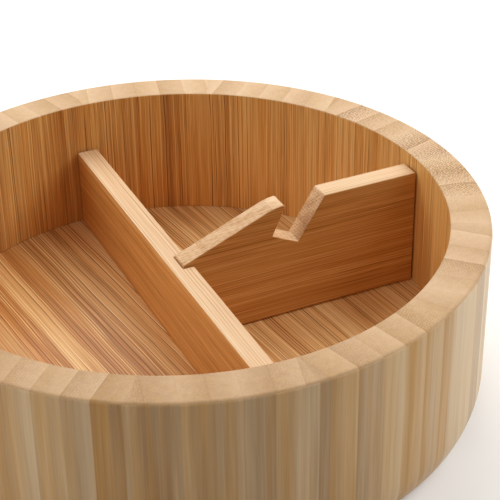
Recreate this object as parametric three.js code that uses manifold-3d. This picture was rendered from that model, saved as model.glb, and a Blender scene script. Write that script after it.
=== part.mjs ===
// A round, open jewelry organizer of light bamboo, with a loose divider set of two boards.
// Millimetres, +Z up. The origin is the middle of the face it stands on.
// The wall is a ring of mitred staves, turned round, and the floor board is glued into a rebate
// from below. The main divider runs from front to back. The cross divider has its inner end in a
// housing in the main divider's right face, and carries the ramp and the leaning notch.

import * as THREE from "three";
import { mergeVertices } from "three/addons/utils/BufferGeometryUtils.js";
import Module from "manifold-3d";

const wasm = await Module();
wasm.setup();

// Staved wall
const boxDiameter = 160;
const boxHeight = 50;
const wallThickness = 10.5;
const staveCount = 12;
const rimEase = 1; // radius on the rim's outside arris
const innerRimEase = 0.35; // and on its crisper inside one
const footRoundWidth = 5.5; // the lower outside edge is a quarter of an ellipse
const footRoundHeight = 10;

// Floor board
const floorThickness = 8;
const floorRecess = 4; // from the standing face up to the board's underside
const rebateDepth = 2.5; // how far the board reaches into the wall
const floorEase = 0.5;

// Divider boards
const boardThickness = 6;
const boardEase = 0.3; // small bevel on every edge of a board
const mainDividerHeight = 23.2;
const housingDepth = boardThickness / 2; // the housing takes half of the main divider

// Ramp and notch of the cross divider
const rampStep = 0.6; // the ramp's foot stands this much proud of the main divider
const rampRise = 10.7; // from the ramp's foot to the crest, which is as high as the board
const crestOffset = 29.9; // from the box's axis to the notch's near lip
const crestRadius = 15;
const lipRadius = 0.6; // between the crest and the notch's near wall
const farLipRadius = 0.6; // between the notch's far wall and the level top
const notchLean = THREE.MathUtils.degToRad(25); // of its near wall, from upright
const notchFlare = THREE.MathUtils.degToRad(7.5); // its far wall leans this much more
const notchDepth = 9.6; // along its near wall
const notchFloorWidth = 8.3;

// Fits
const glueLine = 0.1; // between pieces that are glued together
const floorFit = 0.3; // round the floor board, in its rebate
const endFit = 0.5; // between a divider's end and the wall
const housingFit = 0.25; // round the cross divider's end, in the housing

// Facets
const stepsPerStave = 10;
const footRoundSteps = 7;
const rimEaseSteps = 3;
const crestSteps = 4;
const lipSteps = 4;

const cutOverrun = 5; // how far every cut reaches past the piece it cuts

const outerRadius = boxDiameter / 2;
const innerRadius = outerRadius - wallThickness;
const rebateRadius = innerRadius + rebateDepth;
const floorTop = floorRecess + floorThickness;
const dividerReach = innerRadius - endFit; // from the axis to a divider's end
const rampFootHeight = mainDividerHeight + rampStep;
const crossDividerHeight = rampFootHeight + rampRise;

// Tones of natural bamboo, from pale to dark
const paleBamboo = new THREE.Color(0xe2be8c);
const darkBamboo = new THREE.Color(0xb98549);
const staveToneShares = [0.15, 0.5, 0.3, 0.75, 0.1, 0.45, 0.25, 0.65, 0.35, 0.05, 0.55, 0.4];
const floorToneShare = 0.6;
const dividerToneShare = 0.45;

function bamboo(toneShare) {
  return new THREE.MeshStandardMaterial({
    color: paleBamboo.clone().lerp(darkBamboo, toneShare),
    roughness: 0.55,
    metalness: 0,
  });
}

// A closed geometry as a solid for joining and cutting.
function solidOf(geometry) {
  const bare = geometry.index ? geometry.toNonIndexed() : geometry.clone();
  bare.deleteAttribute("normal");
  bare.deleteAttribute("uv");
  const merged = mergeVertices(bare);
  return new wasm.Manifold(
    new wasm.Mesh({
      numProp: 3,
      vertProperties: merged.attributes.position.array,
      triVerts: new Uint32Array(merged.index.array),
    }),
  );
}

// A solid back as a geometry, with flat faces.
function geometryOf(solid) {
  const mesh = solid.getMesh();
  const shared = new THREE.BufferGeometry();
  shared.setAttribute("position", new THREE.BufferAttribute(mesh.vertProperties, mesh.numProp));
  shared.setIndex(new THREE.BufferAttribute(mesh.triVerts, 1));
  const flat = shared.toNonIndexed();
  flat.computeVertexNormals();
  return flat;
}

function piece(name, geometry, toneShare) {
  const mesh = new THREE.Mesh(geometry, bamboo(toneShare));
  mesh.name = name;
  return mesh;
}

function at(x, y) {
  return new THREE.Vector2(x, y);
}

// Points along an arc of an ellipse, anticlockwise from one angle to another.
function arc(centre, radii, first, last, steps) {
  const points = [];
  for (let i = 0; i <= steps; i++) {
    const angle = first + ((last - first) * i) / steps;
    points.push(at(Math.cos(angle), Math.sin(angle)).multiply(radii).add(centre));
  }
  return points;
}

// Section of the wall, anticlockwise: foot, lower rounding, outside, rim, inside, shoulder, rebate.
function wallSection() {
  const shoulder = floorTop + glueLine;
  const footCentre = at(outerRadius - footRoundWidth, footRoundHeight);
  const footRadii = at(footRoundWidth, footRoundHeight);
  const outerArris = at(outerRadius - rimEase, boxHeight - rimEase);
  const outerRadii = at(rimEase, rimEase);
  const innerArris = at(innerRadius + innerRimEase, boxHeight - innerRimEase);
  const innerRadii = at(innerRimEase, innerRimEase);
  const section = [
    at(rebateRadius, 0),
    ...arc(footCentre, footRadii, -Math.PI / 2, 0, footRoundSteps),
    ...arc(outerArris, outerRadii, 0, Math.PI / 2, rimEaseSteps),
    ...arc(innerArris, innerRadii, Math.PI / 2, Math.PI, rimEaseSteps),
    at(innerRadius, shoulder),
    at(rebateRadius, shoulder),
  ];
  section.push(section[0].clone());
  return section;
}

// The whole turned ring, before it is divided into staves.
function turnedWall() {
  const ring = new THREE.LatheGeometry(wallSection(), staveCount * stepsPerStave);
  ring.rotateX(Math.PI / 2);
  return solidOf(ring);
}

// The wedge of space between two mitre joints, less half a glue line at each.
function mitreWedge(index) {
  const reach = outerRadius + cutOverrun;
  const share = (2 * Math.PI) / staveCount;
  const glueAngle = glueLine / boxDiameter;
  const first = index * share + glueAngle;
  const last = (index + 1) * share - glueAngle;
  const corner = reach / Math.cos(share / 2);
  const outline = new THREE.Shape();
  outline.moveTo(0, 0);
  outline.lineTo(corner * Math.cos(first), corner * Math.sin(first));
  outline.lineTo(corner * Math.cos(last), corner * Math.sin(last));
  outline.closePath();
  const wedge = new THREE.ExtrudeGeometry(outline, {
    depth: boxHeight + 2 * cutOverrun,
    bevelEnabled: false,
  });
  wedge.translate(0, 0, -cutOverrun);
  return solidOf(wedge);
}

function staves() {
  const wall = turnedWall();
  const group = new THREE.Group();
  for (let i = 0; i < staveCount; i++) {
    const name = "stave_" + String(i + 1).padStart(2, "0");
    const toneShare = staveToneShares[i % staveToneShares.length];
    group.add(piece(name, geometryOf(wall.intersect(mitreWedge(i))), toneShare));
  }
  return group;
}

// A round board that fits the rebate, with its lower edge bevelled for fitting.
function floorBoard() {
  const radius = rebateRadius - floorFit;
  const section = [
    at(0, floorRecess),
    at(radius - floorEase, floorRecess),
    at(radius, floorRecess + floorEase),
    at(radius, floorTop),
    at(0, floorTop),
  ];
  const board = new THREE.LatheGeometry(section, staveCount * stepsPerStave);
  board.rotateX(Math.PI / 2);
  return piece("floor_board", geometryOf(solidOf(board)), floorToneShare);
}

// A board with a small bevel on each edge, standing on the floor in the XZ plane.
// The outline's first axis runs along the board and its second is the height above the floor.
function standingBoard(outline) {
  const board = new THREE.ExtrudeGeometry(new THREE.Shape(outline), {
    depth: boardThickness - 2 * boardEase,
    bevelThickness: boardEase,
    bevelSize: boardEase,
    bevelOffset: -boardEase,
    bevelSegments: 1,
  });
  board.rotateX(Math.PI / 2);
  board.translate(0, boardThickness / 2 - boardEase, floorTop);
  return board;
}

// The main divider spans the box, and is cut away for the cross divider's end.
function mainDivider() {
  const board = standingBoard([
    at(-dividerReach, 0),
    at(dividerReach, 0),
    at(dividerReach, mainDividerHeight),
    at(-dividerReach, mainDividerHeight),
  ]);
  board.rotateZ(Math.PI / 2);
  const housing = new THREE.BoxGeometry(
    housingDepth + cutOverrun,
    boardThickness + 2 * housingFit,
    mainDividerHeight + 2 * cutOverrun,
  );
  housing.translate(
    boardThickness / 2 - housingDepth + (housingDepth + cutOverrun) / 2,
    0,
    floorTop + mainDividerHeight / 2,
  );
  return piece(
    "main_divider",
    geometryOf(solidOf(board).subtract(solidOf(housing))),
    dividerToneShare,
  );
}

// Centre of the lip's rounding, which touches the notch's near wall and the crest's arc from inside.
function lipCentre() {
  const upWall = at(Math.sin(notchLean), Math.cos(notchLean));
  const intoBoard = at(-upWall.y, upWall.x);
  const climb = crestRadius * upWall.y;
  const back = climb - Math.sqrt(climb ** 2 - 2 * crestRadius * lipRadius * (1 + intoBoard.y));
  return at(crestOffset, crossDividerHeight)
    .addScaledVector(intoBoard, lipRadius)
    .addScaledVector(upWall, -back);
}

// Outline of the cross divider: a straight ramp from the main divider up to the crest's arc, the
// rounded lip, the leaning notch whose floor is square to its near wall, and a level top out to
// the wall of the box.
function crossOutline() {
  const innerEnd = boardThickness / 2 - housingDepth + housingFit;
  const crest = at(crestOffset, crossDividerHeight - crestRadius);
  const toCrest = at(crest.x - innerEnd, crest.y - rampFootHeight);
  const rampAngle = Math.atan2(toCrest.y, toCrest.x) + Math.asin(crestRadius / toCrest.length());
  const lip = lipCentre();
  const lipEnd = Math.atan2(lip.y - crest.y, lip.x - crest.x);
  const nearFloor = at(
    crestOffset - notchDepth * Math.sin(notchLean),
    crossDividerHeight - notchDepth * Math.cos(notchLean),
  );
  const farFloor = at(
    nearFloor.x + notchFloorWidth * Math.cos(notchLean),
    nearFloor.y - notchFloorWidth * Math.sin(notchLean),
  );
  const farLean = notchLean + notchFlare;
  const farMouth = farFloor.x + (crossDividerHeight - farFloor.y) * Math.tan(farLean);
  const farLip = at(
    farMouth + farLipRadius / Math.tan(Math.PI / 4 + farLean / 2),
    crossDividerHeight - farLipRadius,
  );
  const farLipRadii = at(farLipRadius, farLipRadius);
  const lipArc = arc(lip, at(lipRadius, lipRadius), -notchLean, lipEnd, lipSteps);
  const crestRadii = at(crestRadius, crestRadius);
  const crestArc = arc(crest, crestRadii, lipEnd, Math.PI / 2 + rampAngle, crestSteps);
  return [
    at(innerEnd, 0),
    at(dividerReach, 0),
    at(dividerReach, crossDividerHeight),
    ...arc(farLip, farLipRadii, Math.PI / 2, Math.PI - farLean, lipSteps),
    farFloor,
    nearFloor,
    ...lipArc,
    ...crestArc.slice(1),
    at(innerEnd, rampFootHeight),
  ];
}

function crossDivider() {
  const board = standingBoard(crossOutline());
  return piece("cross_divider", geometryOf(solidOf(board)), dividerToneShare);
}

const organizer = new THREE.Group();
organizer.add(staves(), floorBoard(), mainDivider(), crossDivider());

export default organizer;
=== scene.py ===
import math

import bmesh
import bpy
import numpy as np
from mathutils import Matrix, Vector


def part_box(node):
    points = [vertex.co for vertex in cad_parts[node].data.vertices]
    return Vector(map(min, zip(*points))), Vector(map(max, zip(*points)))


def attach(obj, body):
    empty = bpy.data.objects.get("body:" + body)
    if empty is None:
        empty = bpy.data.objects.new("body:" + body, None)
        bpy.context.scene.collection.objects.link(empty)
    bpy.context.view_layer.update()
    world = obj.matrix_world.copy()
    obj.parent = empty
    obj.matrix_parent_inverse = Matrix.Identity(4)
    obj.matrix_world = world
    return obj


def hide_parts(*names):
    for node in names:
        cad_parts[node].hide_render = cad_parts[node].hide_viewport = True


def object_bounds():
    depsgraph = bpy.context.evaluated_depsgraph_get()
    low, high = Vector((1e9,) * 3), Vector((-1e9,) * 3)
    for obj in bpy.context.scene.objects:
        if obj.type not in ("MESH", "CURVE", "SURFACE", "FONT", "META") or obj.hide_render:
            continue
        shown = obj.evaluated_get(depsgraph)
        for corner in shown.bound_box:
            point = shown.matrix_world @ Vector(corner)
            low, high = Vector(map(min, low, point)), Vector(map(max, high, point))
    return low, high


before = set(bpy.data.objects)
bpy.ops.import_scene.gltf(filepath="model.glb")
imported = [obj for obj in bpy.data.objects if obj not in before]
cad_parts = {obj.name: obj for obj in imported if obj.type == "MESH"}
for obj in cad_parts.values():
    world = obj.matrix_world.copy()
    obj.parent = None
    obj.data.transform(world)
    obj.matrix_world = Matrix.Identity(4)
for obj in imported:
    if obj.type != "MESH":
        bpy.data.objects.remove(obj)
cadLow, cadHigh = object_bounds()
print("frame loaded")

mm = 0.001

# What the pieces share, read from the frame
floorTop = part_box("floor_board")[1].z
outerRadius = (cadHigh.x - cadLow.x) / 2
rimHeight = cadHigh.z


def hexColour(text):
    # sRGB hex to the linear colour that a shader takes
    parts = np.array([int(text[i : i + 2], 16) for i in (1, 3, 5)]) / 255
    linear = np.where(parts <= 0.04045, parts / 12.92, ((parts + 0.055) / 1.055) ** 2.4)
    return (*linear.tolist(), 1.0)


def addNode(tree, kind, settings=None, inputs=None):
    # One node with its settings, and its inputs given as values or as other nodes' outputs. Where
    # inputs are numbered, Map Range takes the value as 0, from as 1 and 2, and to as 3 and 4, and a
    # colour Mix takes the factor as 0 and the colours as 6 and 7.
    node = tree.nodes.new(kind)
    for name, value in (settings or {}).items():
        setattr(node, name, value)
    for name, value in (inputs or {}).items():
        if isinstance(value, bpy.types.NodeSocket):
            tree.links.new(value, node.inputs[name])
        else:
            node.inputs[name].default_value = value
    return node


# Camera, where the photograph was taken from

view = {
    "place": (-0.1269, -0.3207, 0.2511),
    "azimuth": -24.69,  # degrees, and 0 looks along +Y
    "pitch": 31.66,  # degrees below the horizon
    "roll": -0.85,
    "focalPixels": 1563,
    "imagePixels": 500,
    "sensorWidth": 36,  # millimetres
    "clip": (0.02, 50),  # metres
}


def makeCamera():
    azimuth, pitch, roll = (math.radians(view[key]) for key in ("azimuth", "pitch", "roll"))
    flat = math.cos(pitch)
    ahead = Vector((-math.sin(azimuth) * flat, math.cos(azimuth) * flat, -math.sin(pitch)))
    level = Vector((math.cos(azimuth), math.sin(azimuth), 0))
    upright = level.cross(ahead)
    right = math.cos(roll) * level + math.sin(roll) * upright
    up = math.cos(roll) * upright - math.sin(roll) * level
    data = bpy.data.cameras.new("photoCamera")
    data.sensor_width = view["sensorWidth"]
    data.lens = view["focalPixels"] / view["imagePixels"] * view["sensorWidth"]
    data.clip_start, data.clip_end = view["clip"]
    camera = bpy.data.objects.new("photoCamera", data)
    turn = Matrix((right, up, -ahead)).transposed().to_4x4()
    camera.matrix_world = Matrix.Translation(view["place"]) @ turn
    bpy.context.scene.collection.objects.link(camera)
    bpy.context.scene.camera = camera


# Lamps

# Soft boxes: azimuth is counted from the camera, 90 is to its right and 180 beyond the box.
# Angles are in degrees, and distance and size in metres.
lamps = {
    "backSoftbox": {"azimuth": 185, "elevation": 50, "distance": 0.46, "size": 0.36, "watts": 1.12},
    "rightSoftbox": {"azimuth": 98, "elevation": 42, "distance": 1.0, "size": 0.65, "watts": 5.1},
    "leftSoftbox": {"azimuth": -80, "elevation": 31, "distance": 1.1, "size": 0.7, "watts": 4.5},
}


def makeLamp(name, lamp):
    azimuth = math.radians(view["azimuth"] + lamp["azimuth"])
    elevation = math.radians(lamp["elevation"])
    away = Vector((math.sin(azimuth), -math.cos(azimuth), 0)) * math.cos(elevation)
    away.z = math.sin(elevation)
    data = bpy.data.lights.new(name, "AREA")
    data.shape, data.size, data.energy = "SQUARE", lamp["size"], lamp["watts"]
    light = bpy.data.objects.new(name, data)
    light.location = Vector((0, 0, rimHeight)) + away * lamp["distance"]
    light.rotation_euler = away.to_track_quat("Z", "Y").to_euler()
    bpy.context.scene.collection.objects.link(light)


# White backdrop and floor

surroundings = {
    "backdrop": "#FFFFFF",
    "ambient": 0.25,  # strength of the world's light
    "floorSize": 6.0,
    "floorSeen": "#F8F7F5",  # as the camera sees it
    "floorBounce": "#C8C5C0",  # as the box sees it
    "floorLift": 0.16,  # takes the pale floor up to white without more light
    "floorFade": (0.35, 1.3),  # metres from the box, where the card turns up into the white backdrop
}


def seenShare(tree):
    # 1 for what the camera sees directly, in a gloss or through glass, and 0 for light
    path = addNode(tree, "ShaderNodeLightPath").outputs
    seen = path["Is Camera Ray"]
    for ray in ("Is Glossy Ray", "Is Transmission Ray"):
        either = addNode(tree, "ShaderNodeMath", {"operation": "MAXIMUM"}, {0: seen, 1: path[ray]})
        seen = either.outputs[0]
    return seen


def makeBackdrop():
    world = bpy.data.worlds.new("whiteStudio")
    bpy.context.scene.world = world
    world.use_nodes = True
    tree = world.node_tree
    tree.nodes.clear()
    strength = addNode(tree, "ShaderNodeMapRange", {}, {
        0: seenShare(tree), 3: surroundings["ambient"], 4: 1.0,
    })
    background = addNode(tree, "ShaderNodeBackground", {}, {
        "Color": hexColour(surroundings["backdrop"]), "Strength": strength.outputs[0],
    })
    addNode(tree, "ShaderNodeOutputWorld", {}, {"Surface": background.outputs[0]})


def makeCard():
    # Matt white card: pale to the eye, and a quieter bounce on the box. Far from the box it fades
    # into the backdrop's white.
    material = bpy.data.materials.new("mattWhiteCard")
    material.use_nodes = True
    tree = material.node_tree
    tree.nodes.clear()
    seen = seenShare(tree)
    colour = addNode(tree, "ShaderNodeMix", {"data_type": "RGBA"}, {
        0: seen, 6: hexColour(surroundings["floorBounce"]), 7: hexColour(surroundings["floorSeen"]),
    })
    place = addNode(tree, "ShaderNodeTexCoord").outputs["Object"]
    away = addNode(tree, "ShaderNodeVectorMath", {"operation": "LENGTH"}, {0: place}).outputs["Value"]
    near, far = surroundings["floorFade"]
    white = addNode(tree, "ShaderNodeMapRange", {"interpolation_type": "SMOOTHSTEP"}, {
        0: away, 1: near, 2: far, 3: surroundings["floorLift"], 4: 1.0,
    })
    lift = addNode(tree, "ShaderNodeMath", {"operation": "MULTIPLY"}, {0: seen, 1: white.outputs[0]})
    card = addNode(tree, "ShaderNodeBsdfDiffuse", {}, {"Color": colour.outputs[2]})
    glow = addNode(tree, "ShaderNodeEmission", {}, {"Strength": lift.outputs[0]})
    both = addNode(tree, "ShaderNodeAddShader", {}, {0: card.outputs[0], 1: glow.outputs[0]})
    addNode(tree, "ShaderNodeOutputMaterial", {}, {"Surface": both.outputs[0]})
    return material


def makeStudioFloor():
    half = surroundings["floorSize"] / 2
    corners = [(-half, -half, 0), (half, -half, 0), (half, half, 0), (-half, half, 0)]
    mesh = bpy.data.meshes.new("studioFloor")
    mesh.from_pydata(corners, [], [(0, 1, 2, 3)])
    mesh.materials.append(makeCard())
    floor = bpy.data.objects.new("studioFloor", mesh)
    bpy.context.scene.collection.objects.link(floor)


bpy.context.scene.view_settings.view_transform = "Standard"
makeCamera()
for lampName, lampValues in lamps.items():
    makeLamp(lampName, lampValues)
makeBackdrop()
makeStudioFloor()
print("camera, lamps and surroundings made")


# Finishes

# Laminated bamboo is one stuff all through: dark fibre bundles, 0.4 to 0.8 mm apart, run along pale
# pith. A cut across them shows dots, and a cut along them shows streaks. So every finish reads the
# place in the board: across its strips, through it, and along its fibres.
#
# The colours run from the palest wood, at darkness 0, to the darkest, at 1. Some stretches take the
# tint's hue instead, by the share tinted at most. The darkness starts at level, and the amounts from
# tone to glue say how far each cause moves it.
finishes = {
    # Sanded end grain of the rim: pale and matt, dotted, denser towards one side of each strip
    "bambooEndGrainSanded": {
        "colours": ["#EBCEA8", "#D6B083", "#B58850", "#855529"], "tint": "#DDB695", "tinted": 0.35,
        "bandWidth": 1.9 * mm, "level": 0.36, "tone": 0.17, "bands": 0.25, "fibres": 0.25, "share": 0.17,
        "dots": 0.40, "lines": 0.0, "glue": 0.05, "roughness": 0.52,
    },
    # Side grain outside, sanded and thinly oiled: straight upright streaks, low contrast
    "bambooSideGrainSanded": {
        "colours": ["#FFE8C2", "#EECB9A", "#D5A05C", "#A8723A"], "tint": "#DCC2A2", "tinted": 0.6,
        "bandWidth": 3.4 * mm, "level": 0.36, "tone": 0.36, "bands": 0.75, "fibres": 0.17, "share": 0.12,
        "dots": 0.08, "lines": 0.12, "glue": 0.02, "roughness": 0.37,
    },
    # Side grain inside: amber, with crisp streaks, some of them straw; darker and more saturated than
    # outside, partly a fuller coat of oil and partly painted shade of the box's inside
    "bambooInsideOiledShaded": {
        "colours": ["#F6C67A", "#DFA052", "#BB7430", "#794315"], "tint": "#CEA468", "tinted": 0.5,
        "bandWidth": 2.6 * mm, "level": 0.37, "tone": 0.28, "bands": 0.65, "fibres": 1.2, "share": 0.10,
        "dots": 0.45, "lines": 1.5, "glue": 0.04, "roughness": 0.42,
    },
    # Floor board, oiled: strips with thin pale and dark lines
    "bambooFloorOiled": {
        "colours": ["#FFE6AE", "#F3C07E", "#CB8742", "#87481A"], "tint": "#D8B27C", "tinted": 0.35,
        "bandWidth": 1.9 * mm, "level": 0.39, "tone": 0.26, "bands": 0.40, "fibres": 0.8, "share": 0.10,
        "dots": 0.20, "lines": 2.6, "glue": 0.04, "roughness": 0.42,
    },
    # Broad faces of the cross divider, oiled: the deepest amber, with long even streaks, darkened as painted
    # shade of a face turned away from the lamps
    "bambooFaceShadedOiled": {
        "colours": ["#DFB276", "#CA914E", "#AB6F32", "#6E3B15"], "tint": "#B98B56", "tinted": 0.15,
        "bandWidth": 1.9 * mm, "level": 0.37, "tone": 0.10, "bands": 0.15, "fibres": 1.1, "share": 0.05,
        "dots": 0.30, "lines": 1.2, "glue": 0.05, "roughness": 0.40,
    },
    # The same on the long divider, paler, without that painted shade
    "bambooFacePaleOiled": {
        "colours": ["#F6C889", "#DFA35A", "#BE7C38", "#7A4218"], "tint": "#C89A62", "tinted": 0.15,
        "bandWidth": 1.9 * mm, "level": 0.37, "tone": 0.10, "bands": 0.15, "fibres": 1.1, "share": 0.05,
        "dots": 0.30, "lines": 1.2, "glue": 0.05, "roughness": 0.40,
    },
    # Sawn and sanded edges of the dividers: pale, streaked along and dotted where cut across
    "bambooEdgeSanded": {
        "colours": ["#FCE5C1", "#EDC79A", "#CD975F", "#915B2E"], "tint": "#E8C3A2", "tinted": 0.2,
        "bandWidth": 1.9 * mm, "level": 0.38, "tone": 0.30, "bands": 0.5, "fibres": 0.45, "share": 0.05,
        "dots": 0.42, "lines": 0.8, "glue": 0.05, "roughness": 0.50,
    },
}
centredCauses = ("tone", "bands", "fibres", "share")  # these lighten the wood as often as darken it

bamboo = {
    # Spacing across the strips, through the board and along the fibres, in real sizes. Across, each
    # finish has its own width of bands.
    "sizes": {
        "bundles": (0.7 * mm, 0.75 * mm, 200 * mm),
        "fibres": (0.3 * mm, 0.3 * mm, 40 * mm),  # drawn coarser than the real ones, so that they show
        "lines": (0.8 * mm, 0.8 * mm, 25 * mm),
    },
    "bandLength": 110 * mm,
    "noiseDetail": {"fibres": 2.0, "bands": 3.0, "lines": 1.0},
    "noiseRoughness": 0.7,
    "wander": 0.7 * mm,  # how far the fibres stray from a straight line
    "wanderSize": (9 * mm, 9 * mm, 26 * mm),
    "wanderDetail": 1.0,
    "culmStep": (0.31, 0.47, 0.73),  # metres in the culm from the first strip to the last
    "bundleStagger": 0.5,  # each row of bundles stands half a spacing off the one before
    "bundleRandomness": 0.42,
    "bundleShares": (0.22, 0.34),  # radius over spacing, on a strip's sparse and dense sides
    "bundleEdgeShare": 0.2,  # width of a bundle's soft edge, over the spacing
    "sideDots": 0.25,  # how strongly bundles show where they are cut along, beside 1 across
    "sideDotsPower": 4,  # keeps full dots to faces that lie nearly square to the fibres
    "lineShare": 0.15,  # half a thin line's width, over the lines' spacing
    "lineGroups": (0.44, 0.54),  # noise at which lines begin to gather, and are all there
    "loneLine": 0.2,  # strength of a line outside the groups
    "glueShare": 0.03,  # of a strip's width, either side of a joint
    "tintNoise": (0.45, 0.8),  # noise at which the tint begins, and is all there
    "tintByStrip": 0.25,  # how much that noise differs from strip to strip
    "relief": 0.02 * mm,
    "reliefStrength": 0.5,
    "roughnessSpread": 0.08,
    "ior": 1.36,  # oil that has sunk in, so the pores reflect less than a film would
}


def tintedColour(colour, tint):
    # The tint at the brightness of the colour
    weights = (0.2126, 0.7152, 0.0722, 0)
    colour, tint = np.array(hexColour(colour)), np.array(hexColour(tint))
    return (*(tint * (colour @ weights) / (tint @ weights))[:3].tolist(), 1.0)


def grainSpaces(tree, place, seed, bandWidth):
    # The place in the board, counted in each pattern's spacing. Every strip comes from another place
    # in the culm, and its fibres wander a little sideways.
    slow = addNode(tree, "ShaderNodeVectorMath", {"operation": "MULTIPLY"}, {
        0: place, 1: [1 / length for length in bamboo["wanderSize"]],
    })
    stray = addNode(tree, "ShaderNodeTexNoise", {}, {
        "Vector": slow.outputs[0], "Scale": 1.0, "Detail": bamboo["wanderDetail"],
    })
    strayed = addNode(tree, "ShaderNodeVectorMath", {"operation": "MULTIPLY_ADD"}, {
        0: stray.outputs["Color"], 1: (bamboo["wander"], bamboo["wander"], 0), 2: place,
    })
    culm = addNode(tree, "ShaderNodeVectorMath", {"operation": "MULTIPLY_ADD"}, {
        0: seed, 1: bamboo["culmStep"], 2: strayed.outputs[0],
    })
    spaces = {}
    for pattern, size in {**bamboo["sizes"], "bands": (bandWidth, bandWidth, bamboo["bandLength"])}.items():
        spaces[pattern] = addNode(tree, "ShaderNodeVectorMath", {"operation": "MULTIPLY"}, {
            0: culm.outputs[0], 1: [1 / length for length in size],
        }).outputs[0]
    return spaces


def makeBundles(tree, space, share):
    # Fibre bundles run on along the fibres: a bundle is where the nearest cell's middle, in the cut
    # across them, is closer than a radius that grows towards the strip's dense side
    row, column = addNode(tree, "ShaderNodeSeparateXYZ", {}, {0: space}).outputs[:2]
    staggered = addNode(tree, "ShaderNodeMath", {"operation": "MULTIPLY_ADD"}, {
        0: row, 1: bamboo["bundleStagger"], 2: column,
    })
    cell = addNode(tree, "ShaderNodeCombineXYZ", {}, {0: row, 1: staggered.outputs[0]})
    nearest = addNode(tree, "ShaderNodeTexVoronoi", {"voronoi_dimensions": "2D"}, {
        "Vector": cell.outputs[0], "Scale": 1.0, "Randomness": bamboo["bundleRandomness"],
    })
    sparse, dense = bamboo["bundleShares"]
    radius = addNode(tree, "ShaderNodeMapRange", {}, {0: share, 3: sparse, 4: dense})
    inside = addNode(tree, "ShaderNodeMath", {"operation": "SUBTRACT"}, {
        0: radius.outputs[0], 1: nearest.outputs["Distance"],
    })
    bundles = addNode(tree, "ShaderNodeMath", {"operation": "MULTIPLY_ADD", "use_clamp": True}, {
        0: inside.outputs[0], 1: 1 / bamboo["bundleEdgeShare"], 2: 0.5,  # half dark at the radius
    })
    return bundles.outputs[0]


def makeLines(tree, space, fading, grouping):
    # Thin lines at random places across, each pale, -1, or dark, 1, by chance, that fade in and out
    # along. They gather in groups, with plainer wood between.
    row, column = addNode(tree, "ShaderNodeSeparateXYZ", {}, {0: space}).outputs[:2]
    across = addNode(tree, "ShaderNodeMath", {"operation": "ADD"}, {0: row, 1: column})
    cells = addNode(tree, "ShaderNodeTexVoronoi", {"voronoi_dimensions": "1D"}, {
        "W": across.outputs[0], "Scale": 1.0,
    })
    onLine = addNode(tree, "ShaderNodeMapRange", {}, {
        0: cells.outputs["Distance"], 1: bamboo["lineShare"], 2: bamboo["lineShare"] / 2,
    })
    chance = addNode(tree, "ShaderNodeSeparateXYZ", {}, {0: cells.outputs["Color"]})
    paleOrDark = addNode(tree, "ShaderNodeMath", {"operation": "MULTIPLY_ADD"}, {
        0: chance.outputs[0], 1: 2.0, 2: -1.0,
    })
    shown = addNode(tree, "ShaderNodeMath", {"operation": "MULTIPLY"}, {0: onLine.outputs[0], 1: fading})
    begin, full = bamboo["lineGroups"]
    group = addNode(tree, "ShaderNodeMapRange", {}, {0: grouping, 1: begin, 2: full, 3: bamboo["loneLine"]})
    strength = addNode(tree, "ShaderNodeMath", {"operation": "MULTIPLY"}, {
        0: shown.outputs[0], 1: group.outputs[0],
    })
    lines = addNode(tree, "ShaderNodeMath", {"operation": "MULTIPLY"}, {
        0: paleOrDark.outputs[0], 1: strength.outputs[0],
    })
    return lines.outputs[0]


def makeGlue(tree, share):
    # Glue joints, where the share of the strip's width comes near 0 or 1
    offMiddle = addNode(tree, "ShaderNodeMath", {"operation": "SUBTRACT"}, {0: share, 1: 0.5})
    toSide = addNode(tree, "ShaderNodeMath", {"operation": "ABSOLUTE"}, {0: offMiddle.outputs[0]})
    glue = addNode(tree, "ShaderNodeMapRange", {}, {
        0: toSide.outputs[0], 1: 0.5 - bamboo["glueShare"], 2: 0.5,
    })
    return glue.outputs[0]


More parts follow.
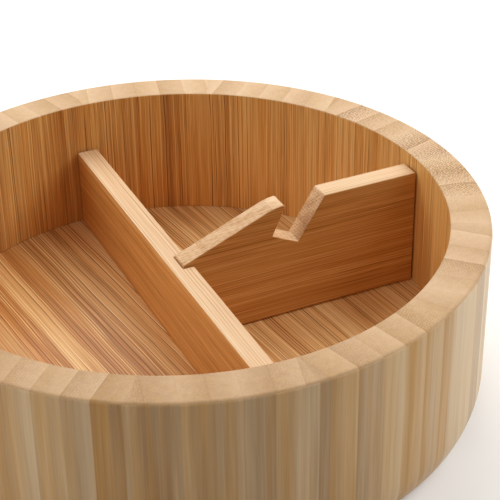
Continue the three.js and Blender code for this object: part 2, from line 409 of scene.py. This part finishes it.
def makeBamboo(name, finish):
    material = bpy.data.materials.new(name)
    material.use_nodes = True
    tree = material.node_tree
    tree.nodes.clear()
    place = addNode(tree, "ShaderNodeAttribute", {"attribute_name": "grainPlace"}).outputs["Vector"]
    look = addNode(tree, "ShaderNodeAttribute", {"attribute_name": "stripLook"}).outputs["Vector"]
    share = addNode(tree, "ShaderNodeAttribute", {"attribute_name": "stripShare"}).outputs["Fac"]
    tone, dotted, seed = addNode(tree, "ShaderNodeSeparateXYZ", {}, {0: look}).outputs

    # Of each noise, output 0 is one value and output 1 is three more, as a colour
    spaces = grainSpaces(tree, place, seed, finish["bandWidth"])
    noises = {}
    for pattern, detail in bamboo["noiseDetail"].items():
        noises[pattern] = addNode(tree, "ShaderNodeTexNoise", {}, {
            "Vector": spaces[pattern], "Scale": 1.0, "Detail": detail, "Roughness": bamboo["noiseRoughness"],
        }).outputs
    tintBand, groupBand = addNode(tree, "ShaderNodeSeparateXYZ", {}, {0: noises["bands"][1]}).outputs[1:]
    bundles = makeBundles(tree, spaces["bundles"], share)
    dots = addNode(tree, "ShaderNodeMath", {"operation": "MULTIPLY"}, {0: bundles, 1: dotted}).outputs[0]

    # Darkness is the level plus each cause times its amount
    causes = {
        "tone": tone, "bands": noises["bands"][0], "fibres": noises["fibres"][0], "share": share,
        "dots": dots, "lines": makeLines(tree, spaces["lines"], noises["lines"][0], groupBand),
        "glue": makeGlue(tree, share),
    }
    darkness = finish["level"] - sum(finish[cause] / 2 for cause in centredCauses)
    for cause, amount in causes.items():
        darkness = addNode(tree, "ShaderNodeMath", {"operation": "MULTIPLY_ADD"}, {
            0: amount, 1: finish[cause], 2: darkness,
        }).outputs[0]

    # The wood's own colours, and the same ones tinted
    shades = []
    tints = [tintedColour(colour, finish["tint"]) for colour in finish["colours"]]
    for colours in ([hexColour(colour) for colour in finish["colours"]], tints):
        ramp = addNode(tree, "ShaderNodeValToRGB", {}, {0: darkness})
        stops = ramp.color_ramp.elements
        for stopPlace in np.linspace(0, 1, len(colours))[1:-1]:
            stops.new(stopPlace)
        for stop, colour in zip(stops, colours):
            stop.color = colour
        shades.append(ramp.outputs[0])
    tintNoise = addNode(tree, "ShaderNodeMath", {"operation": "MULTIPLY_ADD"}, {
        0: seed, 1: bamboo["tintByStrip"], 2: tintBand,
    })
    begin, full = bamboo["tintNoise"]
    tinted = addNode(tree, "ShaderNodeMapRange", {}, {
        0: tintNoise.outputs[0], 1: begin, 2: full, 4: finish["tinted"],
    })
    colour = addNode(tree, "ShaderNodeMix", {"data_type": "RGBA"}, {
        0: tinted.outputs[0], 6: shades[0], 7: shades[1],
    })

    # Bundles stand a little lower than the pith between, and the gloss changes from fibre to fibre
    height = addNode(tree, "ShaderNodeMath", {"operation": "SUBTRACT"}, {0: noises["fibres"][0], 1: dots})
    bump = addNode(tree, "ShaderNodeBump", {}, {
        "Strength": bamboo["reliefStrength"], "Distance": bamboo["relief"], "Height": height.outputs[0],
    })
    rough, spread = finish["roughness"], bamboo["roughnessSpread"]
    gloss = addNode(tree, "ShaderNodeMapRange", {}, {
        0: noises["fibres"][0], 3: rough - spread, 4: rough + spread,
    })
    surface = addNode(tree, "ShaderNodeBsdfPrincipled", {}, {
        "Base Color": colour.outputs[2],
        "IOR": bamboo["ior"],
        "Roughness": gloss.outputs[0],
        "Normal": bump.outputs[0],
    })
    addNode(tree, "ShaderNodeOutputMaterial", {}, {"Surface": surface.outputs[0]})
    return material


materials = {name: makeBamboo(name, finish) for name, finish in finishes.items()}
print("finishes made:", len(materials))


# Shapes


def arcPoints(centre, radii, first, last, steps):
    # centre + radii * (cos t, sin t), with t running evenly from first to last, in degrees
    t = np.radians(np.linspace(first, last, steps + 1))
    return np.asarray(centre) + np.asarray(radii) * np.stack([np.cos(t), np.sin(t)], axis=1)


def easedCorners(corners, radii, steps):
    # Each corner becomes an arc that touches both its sides. Its centre lies on the bisector,
    # radius / sin(half the corner's angle) away, and it turns by what the outline turns there.
    # The result has one row of points for each corner.
    corners, radii = np.asarray(corners, float), np.asarray(radii, float)[:, None]
    toLast = np.roll(corners, 1, axis=0) - corners
    toNext = np.roll(corners, -1, axis=0) - corners
    toLast /= np.linalg.norm(toLast, axis=1, keepdims=True)
    toNext /= np.linalg.norm(toNext, axis=1, keepdims=True)
    half = np.arccos((toLast * toNext).sum(axis=1, keepdims=True)) / 2
    bisector = (toLast + toNext) / np.linalg.norm(toLast + toNext, axis=1, keepdims=True)
    centres = corners + bisector * radii / np.sin(half)
    spokes = corners + toLast * radii / np.tan(half) - centres
    side = np.sign(toNext[:, 0] * toLast[:, 1] - toNext[:, 1] * toLast[:, 0])[:, None]
    t = side * (np.pi - 2 * half) * np.linspace(0, 1, steps + 1)
    x = spokes[:, :1] * np.cos(t) - spokes[:, 1:] * np.sin(t)
    y = spokes[:, :1] * np.sin(t) + spokes[:, 1:] * np.cos(t)
    return centres[:, None] + np.stack([x, y], axis=2)


def insetOutline(outline, distance):
    # Each point moves in along the mean of its two sides' normals, by distance / cos(half its turn)
    sides = np.roll(outline, -1, axis=0) - outline
    sides /= np.linalg.norm(sides, axis=1, keepdims=True)
    normals = np.stack([-sides[:, 1], sides[:, 0]], axis=1)
    mean = normals + np.roll(normals, 1, axis=0)
    return outline + 2 * distance * mean / (mean**2).sum(axis=1, keepdims=True)


def slabRings(outline, low, high, ease, steps):
    # A slab between two flat faces with rounded edges: at the angle t a ring lies
    # ease * (1 - cos t) inside the face and ease * (1 - sin t) inside the outline. One more ring on
    # each face keeps its shading flat.
    faceInset = 1.2 * ease
    t = np.linspace(0, np.pi / 2, steps + 1)
    depths = np.concatenate([[0], ease * (1 - np.cos(t))])
    insets = np.concatenate([[faceInset], ease * (1 - np.sin(t))])
    heights = np.concatenate([low + depths, high - depths[::-1]])
    insets = np.concatenate([insets, insets[::-1]])
    outlines = [insetOutline(outline, inset) for inset in insets]
    return np.stack([np.column_stack([o, np.full(len(o), z)]) for o, z in zip(outlines, heights)])


def loftedMesh(name, rings):
    # Quads between each ring and the next, closed round, with the two end rings filled
    count, size = rings.shape[:2]
    index = np.arange(count * size).reshape(count, size)
    near, far = index[:-1], index[1:]
    quads = np.stack([near, np.roll(near, -1, axis=1), np.roll(far, -1, axis=1), far], axis=2)
    faces = [*quads.reshape(-1, 4).tolist(), index[0].tolist(), index[-1].tolist()]
    mesh = bpy.data.meshes.new(name)
    mesh.from_pydata(rings.reshape(-1, 3), [], faces)
    return mesh


# Strips and pieces

# Every board is glued up from bamboo strips that differ. Tone and dotted give a mean and a spread.
strips = {
    "jitter": 0.25 * mm,  # how far a joint may lie off its even place
    "tone": (0.5, 0.28),  # from pale to dark
    "dotted": (0.08, 0.12),  # how strongly the fibre bundles show
    "leastDotted": 0.03,
    "seed": 1200,  # each piece adds its own number
}
sharpAngle = 32  # degrees between two faces, from which their edge shows
jointTolerance = 1e-7  # metres


def splitAtJoints(mesh, across, joints):
    # Edges are cut in where the glue joints come to the surface, so that each face is of one strip
    shape = bmesh.new()
    shape.from_mesh(mesh)
    bmesh.ops.recalc_face_normals(shape, faces=shape.faces)
    for joint in joints:
        bmesh.ops.bisect_plane(
            shape, geom=[*shape.verts, *shape.edges, *shape.faces],
            plane_co=across * joint, plane_no=across, dist=jointTolerance,
        )
    shape.to_mesh(mesh)
    shape.free()


def stripJoints(reach, width, firstShare, chance):
    # Joints a strip's width apart, each a little off, from beyond one side to beyond the other. One
    # of them lies firstShare of a width from 0.
    count = int(np.ceil(reach / width)) + 1
    joints = (np.arange(-count, count + 1) + firstShare) * width
    return joints + chance.uniform(-1, 1, len(joints)) * strips["jitter"]


def stripLooks(count, chance):
    # How each strip differs: its tone, how strongly it is dotted, its dense side and its own pattern
    return {
        "tone": np.clip(chance.normal(*strips["tone"], count), 0, 1),
        "dotted": np.clip(chance.normal(*strips["dotted"], count), strips["leastDotted"], 1),
        "turned": chance.random(count) < 0.5,
        "seed": chance.random(count),
    }


def meshValues(values, key, size, kind=float):
    # One of the mesh's lists as an array, with size numbers in each row
    data = np.zeros(len(values) * size, kind)
    values.foreach_get(key, data)
    return data.reshape(-1, size)


def makePiece(name, rings, grain, joints, looks, finishOf):
    # grain holds the directions across the strips, through the board and along the fibres
    mesh = loftedMesh(name, rings)
    across, through, along = (np.array(direction, float) for direction in grain)
    splitAtJoints(mesh, Vector(across), joints)
    points = meshValues(mesh.vertices, "co", 3)
    centres = meshValues(mesh.polygons, "center", 3)
    normals = meshValues(mesh.polygons, "normal", 3)
    cornerPoint = meshValues(mesh.loops, "vertex_index", 1, int)[:, 0]
    cornersPerFace = meshValues(mesh.polygons, "loop_total", 1, int)[:, 0]

    # Each face's strip, and how far across it each of the face's corners lies, from 0 to 1
    strip = np.searchsorted(joints, centres @ across)
    edges = np.concatenate([[2 * joints[0] - joints[1]], joints, [2 * joints[-1] - joints[-2]]])
    cornerStrip = np.repeat(strip, cornersPerFace)
    start, end = edges[cornerStrip], edges[cornerStrip + 1]
    share = (points[cornerPoint] @ across - start) / (end - start)
    share = np.where(looks["turned"][cornerStrip], 1 - share, share)

    place = np.stack([points @ across, points @ through, points @ along], axis=1)
    sideDots, power = bamboo["sideDots"], bamboo["sideDotsPower"]
    dotted = looks["dotted"][strip] * (sideDots + (1 - sideDots) * (normals @ along) ** power)
    look = np.stack([looks["tone"][strip], dotted, looks["seed"][strip]], axis=1)
    mesh.attributes.new("grainPlace", "FLOAT_VECTOR", "POINT").data.foreach_set("vector", place.ravel())
    mesh.attributes.new("stripLook", "FLOAT_VECTOR", "FACE").data.foreach_set("vector", look.ravel())
    mesh.attributes.new("stripShare", "FLOAT", "CORNER").data.foreach_set("value", share)

    names, kinds = finishOf(centres, normals)
    for finish in names:
        mesh.materials.append(materials[finish])
    mesh.polygons.foreach_set("material_index", kinds)
    mesh.shade_smooth()
    mesh.set_sharp_from_angle(angle=math.radians(sharpAngle))
    piece = bpy.data.objects.new(name, mesh)
    bpy.context.scene.collection.objects.link(piece)
    return piece


# The wall of mitred staves

wall = {
    "thickness": 10.5 * mm,
    "staves": 12,
    "rimEase": 1.0 * mm,
    "innerEase": 0.35 * mm,
    "footWidth": 5.5 * mm,
    "footHeight": 10 * mm,
    "rebateDepth": 2.5 * mm,
    "shoulder": 0.1 * mm,  # above the floor board
    "glueLine": 0.02 * mm,
    "stepsPerStave": 40,
    "easeSteps": 5,
    "footSteps": 14,
    # End grain shows where a face's normal points up or down by at least this
    "rimUpward": 0.7,
    "footUpward": -0.97,
    "stripWidth": 7.0 * mm,
    # Each stave is sawn from its own board. Its first joint is given as a share of a strip's width
    # from the stave's middle, as the rim in the photograph shows it.
    "jointShares": [-0.04, 0.36, 0.29, 0.31, 0.59, 0.20, 0.83, 0.74, 0.51, 0.43, 0.10, 0.13],
    # Tone added stave by stave: the front staves darker and the two at the right paler, partly the boards'
    # own variation and partly painted shade and light from how the box is lit
    "toneAndPaintedShade": [0, 0, 0, 0, 0, 0, 0.25, 0.6, 0.8, 0.6, -0.05, -0.2],
}

# Strips on the rim that the eye picks out, by stave and by place from its first strip:
# tone from pale to dark, and how strongly dotted
markedStrips = {
    1: {2: (0.40, 0.3), 1: (0.00, 1.5), 0: (0.25, 0.7), -1: (0.28, 0.6), -2: (0.05, 1.5), -3: (0.08, 1.2)},
    2: {-3: (0.20, 0.10), -2: (0.35, 0.2)},
    11: {-1: (0.85, 0.35), -2: (0.25, 0.1), 2: (0.30, 0.1)},
    12: {2: (0.10, 1.6), 1: (0.05, 1.5), 0: (0.05, 1.4), -1: (0.08, 1.2), -2: (0.30, 0.25)},
}


def wallSection():
    # Radius and height, anticlockwise: foot, elliptic lower rounding, eased rim, shoulder, rebate
    inner = outerRadius - wall["thickness"]
    rebate = inner + wall["rebateDepth"]
    shoulder = floorTop + wall["shoulder"]
    ease, innerEase = wall["rimEase"], wall["innerEase"]
    width, height = wall["footWidth"], wall["footHeight"]
    steps = wall["easeSteps"]
    return np.vstack([
        [(rebate, 0)],
        arcPoints((outerRadius - width, height), (width, height), -90, 0, wall["footSteps"]),
        arcPoints((outerRadius - ease, rimHeight - ease), (ease, ease), 0, 90, steps),
        arcPoints((inner + innerEase, rimHeight - innerEase), (innerEase, innerEase), 90, 180, steps),
        [(inner, shoulder), (rebate, shoulder)],
    ])


def wallFinish(centres, normals):
    # The rim's flat, the upper part of its arrises and the foot are end grain; the rest is inside
    # or outside
    radius = np.hypot(centres[:, 0], centres[:, 1])
    middle = outerRadius - wall["thickness"] / 2
    kinds = np.where((radius < middle) & (centres[:, 2] > floorTop), 1, 2)
    upward = normals[:, 2]
    kinds[(upward > wall["rimUpward"]) | (upward < wall["footUpward"])] = 0
    # The inside finish is darker than the outside partly as painted shade
    return ["bambooEndGrainSanded", "bambooInsideOiledShaded", "bambooSideGrainSanded"], kinds


def makeStave(number):
    section = wallSection()
    share = 2 * np.pi / wall["staves"]
    middle = (number - 0.5) * share
    gap = wall["glueLine"] / 2 / outerRadius
    turns = np.linspace(middle - share / 2 + gap, middle + share / 2 - gap, wall["stepsPerStave"] + 1)
    # The section carried round the axis: (radius * cos t, radius * sin t, height)
    rings = np.stack([
        np.outer(np.cos(turns), section[:, 0]),
        np.outer(np.sin(turns), section[:, 0]),
        np.tile(section[:, 1], (len(turns), 1)),
    ], axis=2)
    chance = np.random.default_rng(strips["seed"] + number)
    reach = outerRadius * math.sin(share / 2)
    joints = stripJoints(reach, wall["stripWidth"], wall["jointShares"][number - 1], chance)
    looks = stripLooks(len(joints) + 1, chance)
    # Painted shade on the front staves and painted light on the right ones, on top of their own variation
    looks["tone"] += wall["toneAndPaintedShade"][number - 1]
    for strip, (tone, dotted) in markedStrips.get(number, {}).items():
        index = len(joints) // 2 + 1 + strip
        looks["tone"][index], looks["dotted"][index] = tone, dotted
    grain = [(-math.sin(middle), math.cos(middle), 0), (math.cos(middle), math.sin(middle), 0), (0, 0, 1)]
    piece = makePiece(f"staveBlock{number:02d}", rings, grain, joints, looks, wallFinish)
    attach(piece, "box")
    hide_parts(f"stave_{number:02d}")


for staveNumber in range(1, wall["staves"] + 1):
    makeStave(staveNumber)
print("wall made:", wall["staves"], "staves")


# The floor board

floorBoard = {
    "grain": 96.3,  # degrees from +X
    "ease": 0.5 * mm,
    "easeSteps": 3,
    "steps": 144,
    "topUpward": 0.5,  # the top is where a face's normal points up by at least this
    "stripWidth": 6.6 * mm,
    "jointShare": 0.3,
    "leftPaintedShade": 0.6,  # painted shade: left of the long divider the floor's strips are darker
    "seed": 50,
}


def makeFloorBoard():
    # A round slab, with its strips turned to the grain's direction
    low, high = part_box("floor_board")
    radius = (high.x - low.x) / 2
    outline = arcPoints((0, 0), (radius, radius), 0, 360, floorBoard["steps"])[:-1]
    rings = slabRings(outline, low.z, high.z, floorBoard["ease"], floorBoard["easeSteps"])
    chance = np.random.default_rng(strips["seed"] + floorBoard["seed"])
    joints = stripJoints(radius, floorBoard["stripWidth"], floorBoard["jointShare"], chance)
    turn = math.radians(floorBoard["grain"])
    grain = [(math.sin(turn), -math.cos(turn), 0), (0, 0, 1), (math.cos(turn), math.sin(turn), 0)]

    def finishOf(centres, normals):
        onTop = normals[:, 2] > floorBoard["topUpward"]
        return ["bambooFloorOiled", "bambooSideGrainSanded"], np.where(onTop, 0, 1)

    looks = stripLooks(len(joints) + 1, chance)
    # Painted shade: the strips left of the long divider are darkened
    looks["tone"][: len(joints) // 2] += floorBoard["leftPaintedShade"]
    piece = makePiece("floorPanel", rings, grain, joints, looks, finishOf)
    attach(piece, "box")
    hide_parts("floor_board")


makeFloorBoard()
print("floor board made")


# The two loose dividers

divider = {
    "ease": 0.3 * mm,
    "easeSteps": 4,
    "cornerSteps": 5,
    "cornerRadius": 0.7 * mm,
    "crispRadius": 0.4 * mm,  # at the housing's mouth and the cross divider's lower corners
    "innerRadius": 0.25 * mm,  # in the notch's and the housing's inside corners
    "housingFit": 0.25 * mm,
    "hollow": 0.4 * mm,  # gap to the floor board between the cross divider's two ends
    "hollowSlope": 1 * mm,  # length over which the hollow begins
    "footLength": 3 * mm,
    "faceSquareness": 0.6,  # a broad face's normal points through the board by at least this
    "stripWidth": 7.6 * mm,
    "jointShare": 0.45,
    "dotted": 0.8,
    # Each is cut from its own board
    # The cross divider's faces carry painted shade in their darker finish
    "faces": {"longDivider": "bambooFacePaleOiled", "crossDividerBoard": "bambooFaceShadedOiled"},
    "toneShifts": {"longDivider": 0.08, "crossDividerBoard": -0.05},
    "seeds": {"longDivider": 11, "crossDividerBoard": 17},
}

# The cross divider's upper edge. Offsets run from the box's axis, and lean and flare are in degrees.
notch = {
    "rampStep": 0.6 * mm,  # from the long divider's top up to the ramp's foot
    "crestOffset": 29.9 * mm,
    "crestRadius": 15 * mm,
    "crestSteps": 12,
    "lipRadius": 0.7 * mm,
    "farLipRadius": 0.6 * mm,
    "lean": 25,
    "flare": 7.5,
    "depth": 9.6 * mm,
    "floorWidth": 8.3 * mm,
}


def makeDivider(name, rings, grain, body):
    chance = np.random.default_rng(strips["seed"] + divider["seeds"][name])
    joints = floorTop + stripJoints(rimHeight, divider["stripWidth"], divider["jointShare"], chance)
    through = np.array(grain[1], float)

    def finishOf(centres, normals):
        onFace = np.abs(normals @ through) > divider["faceSquareness"]
        return [divider["faces"][name], "bambooEdgeSanded"], np.where(onFace, 0, 1)

    looks = stripLooks(len(joints) + 1, chance)
    looks["dotted"][:] = divider["dotted"]
    looks["tone"] += divider["toneShifts"][name]
    piece = makePiece(name, rings, grain, joints, looks, finishOf)
    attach(piece, body)
    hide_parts(body)


def makeMainDivider():
    # A plan outline with the housing in its right face, raised from the floor board to the top
    low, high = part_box("main_divider")
    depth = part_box("cross_divider")[0].x - divider["housingFit"]
    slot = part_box("cross_divider")[1].y + divider["housingFit"]
    corner, crisp, inner = divider["cornerRadius"], divider["crispRadius"], divider["innerRadius"]
    corners = [
        (low.x, low.y), (high.x, low.y), (high.x, -slot), (depth, -slot),
        (depth, slot), (high.x, slot), (high.x, high.y), (low.x, high.y),
    ]
    radii = [corner, corner, crisp, inner, inner, crisp, corner, corner]
    outline = easedCorners(corners, radii, divider["cornerSteps"]).reshape(-1, 2)
    rings = slabRings(outline, low.z, high.z, divider["ease"], divider["easeSteps"])
    makeDivider("longDivider", rings, [(0, 0, 1), (1, 0, 0), (0, 1, 0)], "main_divider")


def crossOutline():
    # Along the board and upwards: a ramp, a crest of one arc, the rounded lip, the leaning notch
    # and a level top. The lip's arc touches the notch's near wall, and the crest's arc from inside:
    # its centre is lipRadius from the one and radius - lipRadius from the other's centre. The ramp
    # touches the crest's arc: it climbs at the angle to its centre plus asin(radius / distance).
    low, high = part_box("cross_divider")
    top = high.z
    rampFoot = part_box("main_divider")[1].z + notch["rampStep"]
    radius, lipRadius = notch["crestRadius"], notch["lipRadius"]
    lean, flared = math.radians(notch["lean"]), math.radians(notch["lean"] + notch["flare"])
    upWall = np.array([math.sin(lean), math.cos(lean)])
    intoBoard = np.array([-upWall[1], upWall[0]])
    tip = np.array([notch["crestOffset"], top])
    crest = tip - (0, radius)
    climb = radius * upWall[1]
    back = climb - math.sqrt(climb**2 - 2 * radius * lipRadius * (1 + intoBoard[1]))
    lip = tip + intoBoard * lipRadius - upWall * back
    lipEnd = math.degrees(math.atan2(*(lip - crest)[::-1]))
    toCrest = crest - (low.x, rampFoot)
    rampAngle = math.atan2(toCrest[1], toCrest[0]) + math.asin(radius / np.linalg.norm(toCrest))
    nearFloor = tip - upWall * notch["depth"]
    farFloor = nearFloor + notch["floorWidth"] * np.array([upWall[1], -upWall[0]])
    farLip = (farFloor[0] + (top - farFloor[1]) * math.tan(flared), top)

    corner, crisp, inner = divider["cornerRadius"], divider["crispRadius"], divider["innerRadius"]
    nearFoot, farFoot = low.x + divider["footLength"], high.x - divider["footLength"]
    hollow, slope = low.z + divider["hollow"], divider["hollowSlope"]
    under = [
        (low.x, low.z), (nearFoot, low.z), (nearFoot + slope, hollow),
        (farFoot - slope, hollow), (farFoot, low.z), (high.x, low.z),
    ]
    over = [(high.x, top), farLip, farFloor, nearFloor, tip, (low.x, rampFoot)]
    radii = [crisp] * len(under) + [corner, notch["farLipRadius"], inner, inner, lipRadius, crisp]
    rows = easedCorners(under + over, radii, divider["cornerSteps"])
    lipArc = arcPoints(lip, (lipRadius, lipRadius), -notch["lean"], lipEnd, divider["cornerSteps"])
    crestArc = arcPoints(crest, (radius, radius), lipEnd, 90 + math.degrees(rampAngle), notch["crestSteps"])
    return np.vstack([*rows[:-2], lipArc, crestArc[1:], rows[-1]])


def makeCrossDivider():
    # The upright outline, as thick as the frame's board
    low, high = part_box("cross_divider")
    rings = slabRings(crossOutline(), low.y, high.y, divider["ease"], divider["easeSteps"])
    rings = rings[:, :, [0, 2, 1]]  # the outline stands up, and its thickness runs along Y
    makeDivider("crossDividerBoard", rings, [(0, 0, 1), (0, 1, 0), (1, 0, 0)], "cross_divider")


makeMainDivider()
makeCrossDivider()
print("dividers made")
